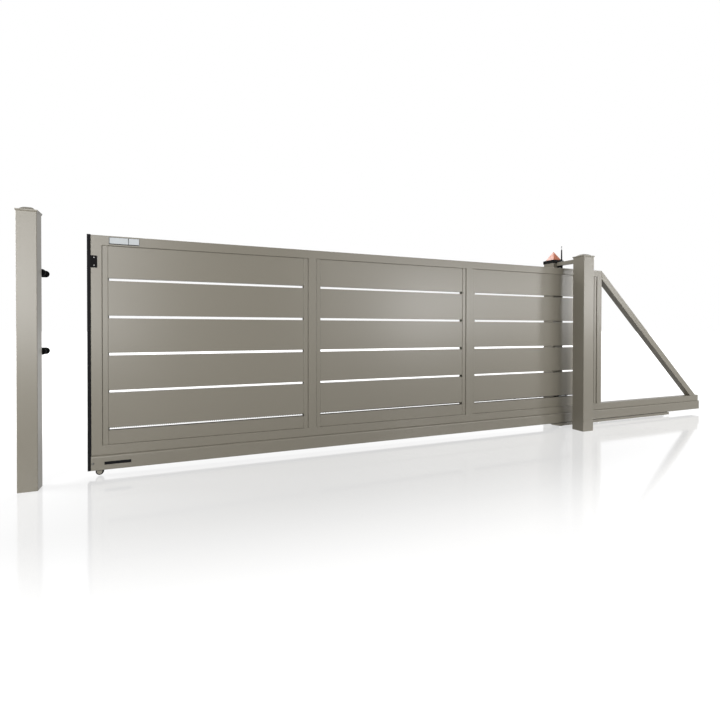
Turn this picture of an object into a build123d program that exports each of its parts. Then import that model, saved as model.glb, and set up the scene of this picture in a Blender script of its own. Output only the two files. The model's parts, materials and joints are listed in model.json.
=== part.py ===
from build123d import *
import math
import os

# Cantilever sliding driveway gate with its posts, carriages and rack drive.
# +X is the way the leaf opens, +Y is away from the street and +Z is up. The origin
# is the centre of the front guide post's foot. Lengths are in millimetres.

# Leaf frame
LEAF_FRONT_Y = 163.0          # street face of the frame
FRAME_SIZE = 60.0             # square frame tube
FRAME_WALL = 3.0
FRAME_CORNER = 3.0
GROUND_GAP = 42.0             # track underside above the ground
LEADING_X = -3868.0           # leading face of the frame
BAY_WIDTHS = (1302.0, 1302.0, 1453.0)
INFILL_HEIGHT = 1222.0        # clear height between bottom rail and top rail
TAIL_LENGTH = 1473.0          # tail beyond the trailing stile
STRUT_TOE = 41.0              # tail end of the bottom rail past the strut's toe

# Track rail under the leaf, a C open at the bottom
TRACK_HEIGHT = 88.0
TRACK_PROUD = 12.0            # how far the track stands out past each frame face
TRACK_WALL = 6.0
TRACK_SHOULDER = 12.0
TRACK_EDGE = 3.0
TRACK_SLOT = 38.0
TAIL_CAP_PLATE = 3.0

# Planks and the channels that hold their ends
PLANK_THICKNESS = 38.0
PLANK_WALL = 2.0
PLANK_EDGE = 2.0
PLANK_GAP = 16.5
PLANK_HEIGHT = 214.0
PLANK_COUNT = 6
LOWEST_PLANK_HEIGHT = 86.5
CHANNEL_WIDTH = 32.0
CHANNEL_WALL = 4.0
CHANNEL_CORNER = 3.0
PLANK_END_PLAY = 3.0

# Leading edge
SAFETY_EDGE_WIDTH = 20.0
SAFETY_EDGE_CORNER = 5.0
SAFETY_EDGE_WALL = 5.0
SAFETY_CHAMBER_DEPTH = 30.0
SAFETY_CHAMBER_CORNER = 2.0
LATCH_SIZE = (35.0, 73.0)
LATCH_DROP = 125.0            # from the leaf's top to the plate
LATCH_PLATE = 3.0
LATCH_CORNER = 3.0
INFO_SIZE = (167.0, 43.0)
INFO_LEFT = 99.0              # from the leading face
INFO_LOW = 9.0                # above the top rail's underside
INFO_PLATE = 2.0
NAME_SIZE = (146.0, 17.5)
NAME_LEFT = 72.0
NAME_LOW = 32.5               # above the track underside
NAME_PLATE = 2.0
LABEL_CORNER = 2.0            # of the info plate and the name plate

# Nose piece and nose wheel
NOSE_LENGTH = 78.0
NOSE_PLAY = 0.5
TAIL_CAP_LIP = 12.0
NOSE_WHEEL_X = 42.0           # from the leading face
NOSE_WHEEL_RADIUS = 22.5
NOSE_WHEEL_WIDTH = 24.0
NOSE_WHEEL_CHAMFER = 3.0
NOSE_WELL_PLAY = 3.0          # round the wheel inside the plug
NOSE_WHEEL_CLEAR = 5.3        # wheel above the ground
CHEEK_PLATE = 4.0
CHEEK_RADIUS = 15.0
CHEEK_PLAY = 1.0
NOSE_PIN_RADIUS = 6.0
PIN_HEAD = 2.5
RUNNING_PLAY = 0.05

# Posts
POST_SIZE = 120.0
POST_WALL = 4.0
POST_CORNER = 2.5
CATCH_SIZE = 97.0
CATCH_X = -4152.5
CATCH_Y = 62.5
DRIVE_Y = 348.0
FOOT_PLATE = 10.0
ANCHOR_RADIUS = 7.0
POST_ANCHOR_SPACING = 80.0
CATCH_ANCHOR_SPACING = 56.0

# Post caps
CAP_OVERHANG = 4.0
CAP_RIM = 12.0
CAP_DOME = 21.0
CAP_DOME_INSET = 7.0
CAP_OGEE = 0.78               # share of the dome's half width that is domed upwards
CAP_SPIGOT = 15.0
CAP_SPIGOT_WALL = 4.0
CAP_PLAY = 0.5

# Lamp and aerial on the drive post
LAMP_OVERHANG = 6.0
LAMP_LIP = 10.0               # how far the skirt hangs down round the post
LAMP_LIP_PLAY = 0.5
LAMP_SKIRT = 18.0
LAMP_CORNER = 4.0
LAMP_SHOULDER = 6.0
LAMP_SHOULDER_INSET = 2.0
LENS_SIZE = 98.0
LENS_LEDGE = 4.0
LENS_HEIGHT = 82.0
LENS_TIP = 3.0
LENS_WALL = 5.0
LENS_TIP_WALL = 10.0
AERIAL_SHIFT = (46.0, 4.0)    # from the post's middle, behind its street face
AERIAL_BOSS = 2.0             # boss wider than the sleeve
AERIAL_SLEEVE = (4.5, 92.0)   # radius, length
AERIAL_ROD = (1.5, 30.0)
AERIAL_BALL = 4.5

# Crossbar and the rollers that guide the top rail
CROSSBAR_WIDTH = 40.0
CROSSBAR_HEIGHT = 34.0
CROSSBAR_WALL = 3.0
CROSSBAR_CORNER = 2.0
CROSSBAR_LEAF_GAP = 38.0      # from the leaf's top to the crossbar
CROSSBAR_DROP = 4.0           # below the posts' tops
GUIDE_ROLLER_RADIUS = 18.0
GUIDE_ROLLER_LENGTH = 46.0
GUIDE_ROLLER_DROP = 40.0      # how far the rollers reach below the leaf's top
GUIDE_ROLLER_PLAY = 0.3
GUIDE_PIN_RADIUS = 5.0
REAR_ROLLER_X = -8.0
FRONT_ROLLER_X = 108.0
BRACKET_WIDTH = 14.0
BRACKET_HEIGHT = 19.0
BRACKET_HEEL = 6.0            # bevel at the drive post
BRACKET_NOSE = 8.0            # bracket in front of the roller's pin
PIN_COLLAR = 3.5              # collar wider than the pin
ARM_THICKNESS = 6.0
ARM_EYE_RADIUS = 16.0
ARM_FOOT_WIDTH = 44.0
ARM_FOOT_DEPTH = 40.0
ARM_FOOT_INSET = 6.0          # from the post's corner

# Forks on the catch post
FORK_HEIGHTS = {"upper_catch_fork": 1230.0, "lower_catch_fork": 771.0}
FORK_FINGER_HEIGHT = 40.0
FORK_PLATE = 8.0
FORK_CLEARANCE = 8.0          # from the leaf's faces
FORK_REACH = 12.0             # past the post's face
FORK_DEPTH = 80.0
FORK_BLOCK = 50.0

# Ground base and carriages
BASE_LEFT_X = -105.0
BASE_LENGTH = 1521.0
BASE_NOSE = 95.0              # how far the base's top leads its sloping end
NOSE_SLOT_PLAY = 6.0          # beside the nose wheel's pin, in the base's sloping end
NOSE_SLOT_INSET = 12.0        # from the slot's end to the foot of the slope
BASE_WIDTH = 74.0
BASE_HEIGHT = 24.0
BASE_WALL = 6.0
BASE_LIFT = 12.0
BASE_FEET = 4
FOOT_RADIUS = 15.0
FOOT_STUD_RADIUS = 7.0
FOOT_INSET = 45.0
CARRIAGE_LENGTH = 290.0
CARRIAGE_PLATE = 20.0
CARRIAGE_END_INSET = 20.0
CARRIAGE_CORNER = 18.0
CARRIAGE_TOP = 18.0           # above the roller pins
ROLLER_PLAY = 0.4
ROLLER_WIDTH = 18.0
ROLLER_SIDE_PLAY = 1.0
ROLLER_PITCH = 100.0
ROLLERS_PER_SIDE = 3
ROLLER_PIN_RADIUS = 8.0

# Rack drive
MODULE = 4.0
PRESSURE_ANGLE = 20.0
RACK_WIDTH = 20.0
RACK_DEPTH = 30.0             # tooth tip to the rack's back
RACK_TIP_Z = 277.5
RACK_BAR_TEETH = 80
RACK_END_INSET = 8.0          # least distance from the frame's ends
RACK_JOINT = 0.4
BACKLASH = 0.5
DEDENDUM = 1.25               # of the module
CARRIER_PLATE = 4.0
CARRIER_LEG = 17.0
CARRIER_LIP = 4.0
PINION_TEETH = 18
PINION_X = 0.0
PINION_LEAF_GAP = 6.0
PINION_WIDTH = 20.0
PINION_HUB_RADIUS = 18.0
PINION_SHAFT_RADIUS = 10.0
PINION_HUB_PLAY = 1.0
FLANK_POINTS = 4
FLANGE_RADIUS = 45.0
FLANGE_THICKNESS = 10.0
FLANGE_BOSS_RADIUS = 30.0
FLANGE_BOSS = 10.0
SENSOR_SIZE = (38.0, 22.0, 34.0)
SENSOR_X = 65.0
SENSOR_RACK_GAP = 6.0
SENSOR_CORNER = 3.0
SENSOR_BRACKET = 4.0
SENSOR_FOOT = 28.0

# Derived places
PINCH = 0.001
CUT_PAST = 1.0
LEAF_MID_Y = LEAF_FRONT_Y + FRAME_SIZE / 2
LEAF_BACK_Y = LEAF_FRONT_Y + FRAME_SIZE
TRACK_TOP_Z = GROUND_GAP + TRACK_HEIGHT
BOTTOM_RAIL_TOP_Z = TRACK_TOP_Z + FRAME_SIZE
TOP_RAIL_Z = BOTTOM_RAIL_TOP_Z + INFILL_HEIGHT
LEAF_TOP_Z = TOP_RAIL_Z + FRAME_SIZE
CROSSBAR_Z = LEAF_TOP_Z + CROSSBAR_LEAF_GAP
POST_HEIGHT = CROSSBAR_Z + CROSSBAR_HEIGHT + CROSSBAR_DROP
TRACK_WIDTH = FRAME_SIZE + 2 * TRACK_PROUD
TRACK_FRONT_Y = LEAF_MID_Y - TRACK_WIDTH / 2
BAY_STARTS = [LEADING_X + FRAME_SIZE + sum(BAY_WIDTHS[:i]) + i * FRAME_SIZE for i in range(3)]
TRAILING_X = BAY_STARTS[2] + BAY_WIDTHS[2]
FRAME_END_X = TRAILING_X + FRAME_SIZE
TAIL_END_X = FRAME_END_X + TAIL_LENGTH
POST_BACK_Y = POST_SIZE / 2
DRIVE_FRONT_Y = DRIVE_Y - POST_SIZE / 2
GUIDE_ROLLER_Z = LEAF_TOP_Z - GUIDE_ROLLER_DROP
GUIDE_ROLLER_TOP = GUIDE_ROLLER_Z + GUIDE_ROLLER_LENGTH
ROLLER_Z = GROUND_GAP + TRACK_HEIGHT / 2
ROLLER_RADIUS = TRACK_HEIGHT / 2 - TRACK_WALL - ROLLER_PLAY
LENS_FOOT_Z = POST_HEIGHT + LAMP_SKIRT + LAMP_SHOULDER
CIRCULAR_PITCH = math.pi * MODULE
RACK_FRONT_Y = LEAF_BACK_Y + CARRIER_PLATE
RACK_PITCH_Z = RACK_TIP_Z + MODULE
RACK_TOP_Z = RACK_TIP_Z + RACK_DEPTH
PINION_RADIUS = MODULE * PINION_TEETH / 2
PINION_Z = RACK_PITCH_Z - PINION_RADIUS


def profile_x(sketch, x_start, x_end):
    """Run a Y-Z section from x_start to x_end."""
    plane = Plane(origin=(x_start, 0, 0), x_dir=(0, 1, 0), z_dir=(1, 0, 0))
    return extrude(plane * sketch, x_end - x_start)


def profile_y(sketch, y_start, y_end):
    """Run an X-Z section from y_start to y_end."""
    plane = Plane(origin=(0, y_end, 0), x_dir=(1, 0, 0), z_dir=(0, -1, 0))
    return extrude(plane * sketch, y_end - y_start)


def profile_z(sketch, z_start, z_end):
    """Run an X-Y section from z_start to z_end."""
    return extrude(Pos(0, 0, z_start) * sketch, z_end - z_start)


def block(x_range, y_range, z_range):
    """A plain block between three pairs of limits."""
    size = [high - low for low, high in (x_range, y_range, z_range)]
    middle = [(high + low) / 2 for low, high in (x_range, y_range, z_range)]
    return Pos(*middle) * Box(*size)


def tube_section(width, height, wall, corner):
    """A rectangular hollow section with rounded outer corners."""
    inner = Rectangle(width - 2 * wall, height - 2 * wall)
    return RectangleRounded(width, height, corner) - inner


def frame_section():
    """The section of the frame tube, round its own middle."""
    return tube_section(FRAME_SIZE, FRAME_SIZE, FRAME_WALL, FRAME_CORNER)


def rail_envelope(z_low):
    """The outside of a rail as a solid bar over the whole leaf."""
    outline = Pos(LEAF_MID_Y, z_low + FRAME_SIZE / 2) * RectangleRounded(FRAME_SIZE, FRAME_SIZE, FRAME_CORNER)
    return profile_x(outline, LEADING_X, FRAME_END_X)


def mitre_cut(outer, inner):
    """All that lies beyond the mitre from an outer to an inner corner, on the side away from the upright."""
    run = inner[0] - outer[0]
    rise = outer[1] - inner[1]
    start = (outer[0] - run / 2, outer[1] + rise / 2)
    corner = (inner[0] + run, start[1])
    past = (inner[0] + run, inner[1] - rise)
    outline = make_face(Polyline(start, corner, past, close=True))
    return profile_y(outline, LEAF_FRONT_Y - CUT_PAST, LEAF_BACK_Y + CUT_PAST)


def top_leading_mitre():
    """The rail's side of the mitre at the leaf's top leading corner."""
    return mitre_cut((LEADING_X, LEAF_TOP_Z), (LEADING_X + FRAME_SIZE, TOP_RAIL_Z))


def low_leading_mitre():
    """The rail's side of the mitre at the leaf's low leading corner."""
    return mitre_cut((LEADING_X, TRACK_TOP_Z), (LEADING_X + FRAME_SIZE, BOTTOM_RAIL_TOP_Z))


def top_trailing_mitre():
    """The rail's side of the mitre at the leaf's top trailing corner."""
    return mitre_cut((FRAME_END_X, LEAF_TOP_Z), (TRAILING_X, TOP_RAIL_Z))


def mitred_end(x_start, mitre, z_low):
    """The piece of rail at a mitre, from the mitre to the inner corner."""
    place = Pos(LEAF_MID_Y, z_low + FRAME_SIZE / 2)
    return profile_x(place * frame_section(), x_start, x_start + FRAME_SIZE) & mitre


def top_rail():
    """The rail over the leaf, mitred at both ends."""
    place = Pos(LEAF_MID_Y, TOP_RAIL_Z + FRAME_SIZE / 2)
    middle = profile_x(place * frame_section(), LEADING_X + FRAME_SIZE, TRAILING_X)
    left = mitred_end(LEADING_X, top_leading_mitre(), TOP_RAIL_Z)
    right = mitred_end(TRAILING_X, top_trailing_mitre(), TOP_RAIL_Z)
    return middle + left + right


def bottom_rail():
    """The rail on the track, mitred at the leading end and closed by a plate at the tail."""
    place = Pos(LEAF_MID_Y, TRACK_TOP_Z + FRAME_SIZE / 2)
    closed_x = TAIL_END_X - FRAME_WALL
    middle = profile_x(place * frame_section(), LEADING_X + FRAME_SIZE, closed_x)
    left = mitred_end(LEADING_X, low_leading_mitre(), TRACK_TOP_Z)
    outline = place * RectangleRounded(FRAME_SIZE, FRAME_SIZE, FRAME_CORNER)
    return left + middle + profile_x(outline, closed_x, TAIL_END_X)


def leading_stile():
    """The upright at the leading edge, mitred to both rails."""
    place = Pos(LEADING_X + FRAME_SIZE / 2, LEAF_MID_Y)
    upright = profile_z(place * frame_section(), TRACK_TOP_Z, LEAF_TOP_Z)
    return upright - top_leading_mitre() - low_leading_mitre()


def trailing_stile():
    """The upright at the end of the infill, mitred above and coped on the bottom rail."""
    place = Pos(TRAILING_X + FRAME_SIZE / 2, LEAF_MID_Y)
    upright = profile_z(place * frame_section(), BOTTOM_RAIL_TOP_Z - FRAME_CORNER, LEAF_TOP_Z)
    return upright - top_trailing_mitre() - rail_envelope(TRACK_TOP_Z)


def mullion(x_start):
    """An upright coped on both rails, so that its faces run flush into theirs."""
    place = Pos(x_start + FRAME_SIZE / 2, LEAF_MID_Y)
    upright = profile_z(place * frame_section(), BOTTOM_RAIL_TOP_Z - FRAME_CORNER, TOP_RAIL_Z + FRAME_CORNER)
    return upright - rail_envelope(TRACK_TOP_Z) - rail_envelope(TOP_RAIL_Z)


def track_rail():
    """The C-shaped track with rounded shoulders and a slot along its underside."""
    half = TRACK_WIDTH / 2
    with BuildSketch() as section:
        with BuildLine():
            Polyline((-half, TRACK_HEIGHT - TRACK_SHOULDER), (-half, TRACK_EDGE), (-half + TRACK_EDGE, 0),
                     (half - TRACK_EDGE, 0), (half, TRACK_EDGE), (half, TRACK_HEIGHT - TRACK_SHOULDER))
            RadiusArc((half, TRACK_HEIGHT - TRACK_SHOULDER), (half - TRACK_SHOULDER, TRACK_HEIGHT),
                      -TRACK_SHOULDER)
            Line((half - TRACK_SHOULDER, TRACK_HEIGHT), (-half + TRACK_SHOULDER, TRACK_HEIGHT))
            RadiusArc((-half + TRACK_SHOULDER, TRACK_HEIGHT), (-half, TRACK_HEIGHT - TRACK_SHOULDER),
                      -TRACK_SHOULDER)
        make_face()
        with Locations((0, TRACK_HEIGHT / 2)):
            Rectangle(TRACK_WIDTH - 2 * TRACK_WALL, TRACK_HEIGHT - 2 * TRACK_WALL, mode=Mode.SUBTRACT)
        with Locations((0, TRACK_WALL / 2)):
            Rectangle(TRACK_SLOT, TRACK_WALL + 2 * PINCH, mode=Mode.SUBTRACT)
    return profile_x(Pos(LEAF_MID_Y, GROUND_GAP) * section.sketch, LEADING_X, TAIL_END_X - TAIL_CAP_PLATE)


def tail_cap():
    """The plate that closes the track's tail end, with a lip inside the track."""
    outline = RectangleRounded(TRACK_WIDTH, TRACK_HEIGHT, TRACK_EDGE)
    place = Pos(LEAF_MID_Y, GROUND_GAP + TRACK_HEIGHT / 2)
    plate = profile_x(place * outline, TAIL_END_X - TAIL_CAP_PLATE, TAIL_END_X)
    plug_width = TRACK_WIDTH - 2 * TRACK_WALL - 2 * NOSE_PLAY
    plug_height = TRACK_HEIGHT - 2 * TRACK_WALL - 2 * NOSE_PLAY
    plug = place * tube_section(plug_width, plug_height, TAIL_CAP_PLATE, TRACK_EDGE)
    return plate + profile_x(plug, TAIL_END_X - TAIL_CAP_PLATE - TAIL_CAP_LIP, TAIL_END_X - TAIL_CAP_PLATE)


def nose_wheel_centre():
    """Centre of the nose wheel."""
    return LEADING_X + NOSE_WHEEL_X, LEAF_MID_Y, NOSE_WHEEL_CLEAR + NOSE_WHEEL_RADIUS


def nose_pin_half():
    """Half the length of the nose wheel's pin."""
    return NOSE_WHEEL_WIDTH / 2 + CHEEK_PLAY + CHEEK_PLATE + PIN_HEAD


def rail_nose():
    """The plug in the track's leading end, with two cheeks and the pin that carry the nose wheel."""
    x, y, z = nose_wheel_centre()
    inside_low = GROUND_GAP + TRACK_WALL + NOSE_PLAY
    inside_high = TRACK_TOP_Z - TRACK_WALL - NOSE_PLAY
    plug_half = TRACK_WIDTH / 2 - TRACK_WALL - NOSE_PLAY
    plug_x = (LEADING_X, LEADING_X + NOSE_LENGTH)
    plug = block(plug_x, (y - plug_half, y + plug_half), (inside_low, inside_high))
    well_half = NOSE_WHEEL_WIDTH / 2 + CHEEK_PLAY
    well_radius = NOSE_WHEEL_RADIUS + NOSE_WELL_PLAY
    plug -= profile_y(Pos(x, z) * Circle(well_radius), y - well_half, y + well_half)
    cheek_top = inside_low + NOSE_PLAY
    cheek_outline = Pos(x, z) * Circle(CHEEK_RADIUS)
    cheek_outline += Pos(x, (z + cheek_top) / 2) * Rectangle(2 * CHEEK_RADIUS, cheek_top - z)
    for side in (-1, 1):
        near, far = sorted((y + side * well_half, y + side * (well_half + CHEEK_PLATE)))
        plug += profile_y(cheek_outline, near, far)
    pin_half = nose_pin_half()
    plug += profile_y(Pos(x, z) * Circle(NOSE_PIN_RADIUS), y - pin_half, y + pin_half)
    return plug


def nose_wheel():
    """A crowned wheel with a bore that runs on the nose pin."""
    half = NOSE_WHEEL_WIDTH / 2
    tread = NOSE_WHEEL_RADIUS - NOSE_WHEEL_CHAMFER
    outline = Polyline((NOSE_PIN_RADIUS + RUNNING_PLAY, -half), (tread, -half),
                       (NOSE_WHEEL_RADIUS, -half + NOSE_WHEEL_CHAMFER),
                       (NOSE_WHEEL_RADIUS, half - NOSE_WHEEL_CHAMFER),
                       (tread, half), (NOSE_PIN_RADIUS + RUNNING_PLAY, half), close=True)
    ring = revolve(make_face(outline), Axis.Y)
    return Pos(*nose_wheel_centre()) * ring


def tail_strut():
    """The sloping tube from the leaf's top corner down to the tail of the bottom rail."""
    run = TAIL_END_X - STRUT_TOE - FRAME_END_X
    drop = LEAF_TOP_Z - BOTTOM_RAIL_TOP_Z
    length = math.hypot(run, drop)
    along = Vector(run / length, 0, -drop / length)
    down = Vector(-drop / length, 0, -run / length)
    start = Vector(FRAME_END_X, LEAF_MID_Y, LEAF_TOP_Z) + down * (FRAME_SIZE / 2) - along * FRAME_SIZE
    plane = Plane(origin=start, x_dir=(0, 1, 0), z_dir=along)
    section = tube_section(FRAME_SIZE, FRAME_SIZE, FRAME_WALL, FRAME_CORNER)
    bar = extrude(plane * section, length + 3 * FRAME_SIZE)
    room = block((FRAME_END_X, TAIL_END_X), (LEAF_FRONT_Y, LEAF_BACK_Y), (BOTTOM_RAIL_TOP_Z, LEAF_TOP_Z))
    return bar & room


def plank_levels():
    """Low and high edge of each plank, from the bottom up."""
    low = BOTTOM_RAIL_TOP_Z
    high = low + LOWEST_PLANK_HEIGHT
    levels = [(low, high)]
    for _ in range(PLANK_COUNT - 2):
        low = high + PLANK_GAP
        high = low + PLANK_HEIGHT
        levels.append((low, high))
    levels.append((high + PLANK_GAP, TOP_RAIL_Z))
    return levels


def bay_planks(bay):
    """The hollow planks of one bay, one solid each."""
    x_start = BAY_STARTS[bay] + CHANNEL_WALL + PLANK_END_PLAY
    x_end = BAY_STARTS[bay] + BAY_WIDTHS[bay] - CHANNEL_WALL - PLANK_END_PLAY
    planks = []
    for low, high in plank_levels():
        section = tube_section(PLANK_THICKNESS, high - low, PLANK_WALL, PLANK_EDGE)
        planks += profile_x(Pos(LEAF_MID_Y, (low + high) / 2) * section, x_start, x_end).solids()
    return Compound(planks)


def bay_channels(bay):
    """The two upright channels that hold the plank ends of one bay."""
    depth = PLANK_THICKNESS + 2 * CHANNEL_WALL
    section = RectangleRounded(CHANNEL_WIDTH, depth, CHANNEL_CORNER)
    section -= Pos(CHANNEL_WALL / 2, 0) * Rectangle(CHANNEL_WIDTH - CHANNEL_WALL, PLANK_THICKNESS)
    left_x = BAY_STARTS[bay] + CHANNEL_WIDTH / 2
    right_x = BAY_STARTS[bay] + BAY_WIDTHS[bay] - CHANNEL_WIDTH / 2
    left = profile_z(Pos(left_x, LEAF_MID_Y) * section, BOTTOM_RAIL_TOP_Z, TOP_RAIL_Z)
    right = profile_z(Pos(right_x, LEAF_MID_Y) * Rot(0, 0, 180) * section, BOTTOM_RAIL_TOP_Z, TOP_RAIL_Z)
    return Compound(left.solids() + right.solids())


def safety_edge():
    """The hollow rubber profile on the leading edge, rounded in front."""
    x_mid = LEADING_X - SAFETY_EDGE_WIDTH / 2
    outline = Pos(x_mid, LEAF_MID_Y) * RectangleRounded(SAFETY_EDGE_WIDTH, FRAME_SIZE, SAFETY_EDGE_CORNER)
    outline += Pos(x_mid + SAFETY_EDGE_WIDTH / 4, LEAF_MID_Y) * Rectangle(SAFETY_EDGE_WIDTH / 2, FRAME_SIZE)
    chamber_width = SAFETY_EDGE_WIDTH - 2 * SAFETY_EDGE_WALL
    chamber = RectangleRounded(chamber_width, SAFETY_CHAMBER_DEPTH, SAFETY_CHAMBER_CORNER)
    chamber = Pos(x_mid, LEAF_MID_Y) * chamber
    return profile_z(outline - chamber, GROUND_GAP, LEAF_TOP_Z)


def latch_plate():
    """The plate of the lock on the leading stile."""
    width, height = LATCH_SIZE
    middle = Pos(LEADING_X + width / 2, LEAF_TOP_Z - LATCH_DROP - height / 2)
    outline = middle * RectangleRounded(width, height, LATCH_CORNER)
    return profile_y(outline, LEAF_FRONT_Y - LATCH_PLATE, LEAF_FRONT_Y)


def info_plate():
    """The bare plate on the top rail."""
    width, height = INFO_SIZE
    middle = Pos(LEADING_X + INFO_LEFT + width / 2, TOP_RAIL_Z + INFO_LOW + height / 2)
    outline = middle * RectangleRounded(width, height, LABEL_CORNER)
    return profile_y(outline, LEAF_FRONT_Y - INFO_PLATE, LEAF_FRONT_Y)


def name_plate():
    """The bare strip on the track's street face."""
    width, height = NAME_SIZE
    middle = Pos(LEADING_X + NAME_LEFT + width / 2, GROUND_GAP + NAME_LOW + height / 2)
    outline = middle * RectangleRounded(width, height, LABEL_CORNER)
    return profile_y(outline, TRACK_FRONT_Y - NAME_PLATE, TRACK_FRONT_Y)


def post(x, y, size, anchor_spacing):
    """A hollow post with a foot plate inside it, drilled for four anchors."""
    tube = profile_z(Pos(x, y) * tube_section(size, size, POST_WALL, POST_CORNER), 0, POST_HEIGHT)
    inner = size - 2 * POST_WALL
    plate = Rectangle(inner + POST_WALL, inner + POST_WALL)
    for side_x in (-1, 1):
        for side_y in (-1, 1):
            plate -= Pos(side_x * anchor_spacing / 2, side_y * anchor_spacing / 2) * Circle(ANCHOR_RADIUS)
    return tube + profile_z(Pos(x, y) * plate, 0, FOOT_PLATE)


def spigot(x, y, size):
    """The open square collar under a cap that drops into the post."""
    outer = size - 2 * POST_WALL - 2 * CAP_PLAY
    inner = outer - 2 * CAP_SPIGOT_WALL
    collar = Rectangle(outer, outer) - Rectangle(inner, inner)
    return profile_z(Pos(x, y) * collar, POST_HEIGHT - CAP_SPIGOT, POST_HEIGHT)


def dome_section(radius):
    """An ogee arch over the ground line, hollow at its feet and round on top."""
    turn_x = radius * CAP_OGEE
    turn_z = CAP_DOME * (1 - CAP_OGEE)
    with BuildSketch() as arch:
        with BuildLine():
            Line((-radius, -PINCH), (radius, -PINCH))
            Line((radius, -PINCH), (radius, 0))
            TangentArc((radius, 0), (turn_x, turn_z), tangent=(-1, 0))
            ThreePointArc((turn_x, turn_z), (0, CAP_DOME), (-turn_x, turn_z))
            TangentArc((-radius, 0), (-turn_x, turn_z), tangent=(1, 0))
            Line((-radius, 0), (-radius, -PINCH))
        make_face()
    return arch.sketch


def post_cap(x, y, size):
    """A flared rim with a four-sided ogee dome on top."""
    rim_size = size + 2 * CAP_OVERHANG
    foot = Pos(x, y, POST_HEIGHT) * Rectangle(size, size)
    brow = Pos(x, y, POST_HEIGHT + CAP_RIM / 2) * Rectangle(rim_size, rim_size)
    rim = loft([foot, brow]) + profile_z(Pos(x, y) * Rectangle(rim_size, rim_size),
                                         POST_HEIGHT + CAP_RIM / 2, POST_HEIGHT + CAP_RIM)
    radius = size / 2 - CAP_DOME_INSET + CAP_OVERHANG
    dome_z = POST_HEIGHT + CAP_RIM
    along_y = profile_y(Pos(x, dome_z) * dome_section(radius), y - radius, y + radius)
    along_x = profile_x(Pos(y, dome_z) * dome_section(radius), x - radius, x + radius)
    return rim + (along_y & along_x) + spigot(x, y, size)


def aerial_place():
    """Where the aerial stands, near the street corner of the skirt."""
    shift_x, shift_y = AERIAL_SHIFT
    return Pos(shift_x, DRIVE_FRONT_Y + shift_y)


def lamp_base():
    """The black skirt round the drive post's top that carries the lens, notched over the crossbar."""
    size = POST_SIZE + 2 * LAMP_OVERHANG
    bore = POST_SIZE + 2 * LAMP_LIP_PLAY
    skirt_z = POST_HEIGHT + LAMP_SKIRT
    lip_z = POST_HEIGHT - LAMP_LIP
    outline = Pos(0, DRIVE_Y) * RectangleRounded(size, size, LAMP_CORNER)
    skirt = profile_z(outline, POST_HEIGHT, skirt_z)
    skirt += profile_z(outline - Pos(0, DRIVE_Y) * Rectangle(bore, bore), lip_z, POST_HEIGHT)
    notch_half = CROSSBAR_WIDTH / 2 + LAMP_LIP_PLAY
    notch_z = (lip_z - CUT_PAST, CROSSBAR_Z + CROSSBAR_HEIGHT + LAMP_LIP_PLAY)
    notch_y = (DRIVE_Y - size / 2 - CUT_PAST, DRIVE_FRONT_Y)
    skirt -= block((-notch_half, notch_half), notch_y, notch_z)
    wide_size = size - 2 * LAMP_SHOULDER_INSET
    wide = Pos(0, DRIVE_Y, skirt_z) * Rectangle(wide_size, wide_size)
    narrow = Pos(0, DRIVE_Y, LENS_FOOT_Z) * Rectangle(LENS_SIZE + LENS_LEDGE, LENS_SIZE + LENS_LEDGE)
    boss = aerial_place() * Circle(AERIAL_SLEEVE[0] + AERIAL_BOSS)
    boss_solid = profile_z(boss, POST_HEIGHT + LAMP_SKIRT / 2, LENS_FOOT_Z)
    return skirt + loft([wide, narrow]) + boss_solid + spigot(0, DRIVE_Y, POST_SIZE)


def lamp_lens():
    """The four-sided pointed lens, a shell open at its foot."""
    outer = loft([Pos(0, DRIVE_Y, LENS_FOOT_Z) * Rectangle(LENS_SIZE, LENS_SIZE),
                  Pos(0, DRIVE_Y, LENS_FOOT_Z + LENS_HEIGHT) * Rectangle(LENS_TIP, LENS_TIP)])
    inner_size = LENS_SIZE - 2 * LENS_WALL
    inner_top = LENS_FOOT_Z + LENS_HEIGHT - LENS_TIP_WALL
    inner = loft([Pos(0, DRIVE_Y, LENS_FOOT_Z - PINCH) * Rectangle(inner_size, inner_size),
                  Pos(0, DRIVE_Y, inner_top) * Rectangle(LENS_TIP, LENS_TIP)])
    return outer - inner


def aerial():
    """The receiver's rod aerial at the skirt's front corner."""
    sleeve_radius, sleeve_length = AERIAL_SLEEVE
    rod_radius, rod_length = AERIAL_ROD
    rod_z = LENS_FOOT_Z + sleeve_length
    ball_z = rod_z + rod_length + AERIAL_BALL
    body = profile_z(aerial_place() * Circle(sleeve_radius), LENS_FOOT_Z, rod_z)
    body += profile_z(aerial_place() * Circle(rod_radius), rod_z, ball_z)
    return body + aerial_place() * Pos(0, 0, ball_z) * Sphere(AERIAL_BALL)


def crossbar():
    """The bar over the leaf that ties the guide post to the drive post."""
    section = tube_section(CROSSBAR_WIDTH, CROSSBAR_HEIGHT, CROSSBAR_WALL, CROSSBAR_CORNER)
    return profile_y(Pos(0, CROSSBAR_Z + CROSSBAR_HEIGHT / 2) * section, POST_BACK_Y, DRIVE_FRONT_Y)


def guide_roller(x, side):
    """A roller on an upright pin beside the top rail; side is -1 in front and 1 behind."""
    y = LEAF_MID_Y + side * (FRAME_SIZE / 2 + GUIDE_ROLLER_RADIUS + GUIDE_ROLLER_PLAY)
    ring = Circle(GUIDE_ROLLER_RADIUS) - Circle(GUIDE_PIN_RADIUS + 2 * RUNNING_PLAY)
    return profile_z(Pos(x, y) * ring, GUIDE_ROLLER_Z, GUIDE_ROLLER_TOP)


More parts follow.
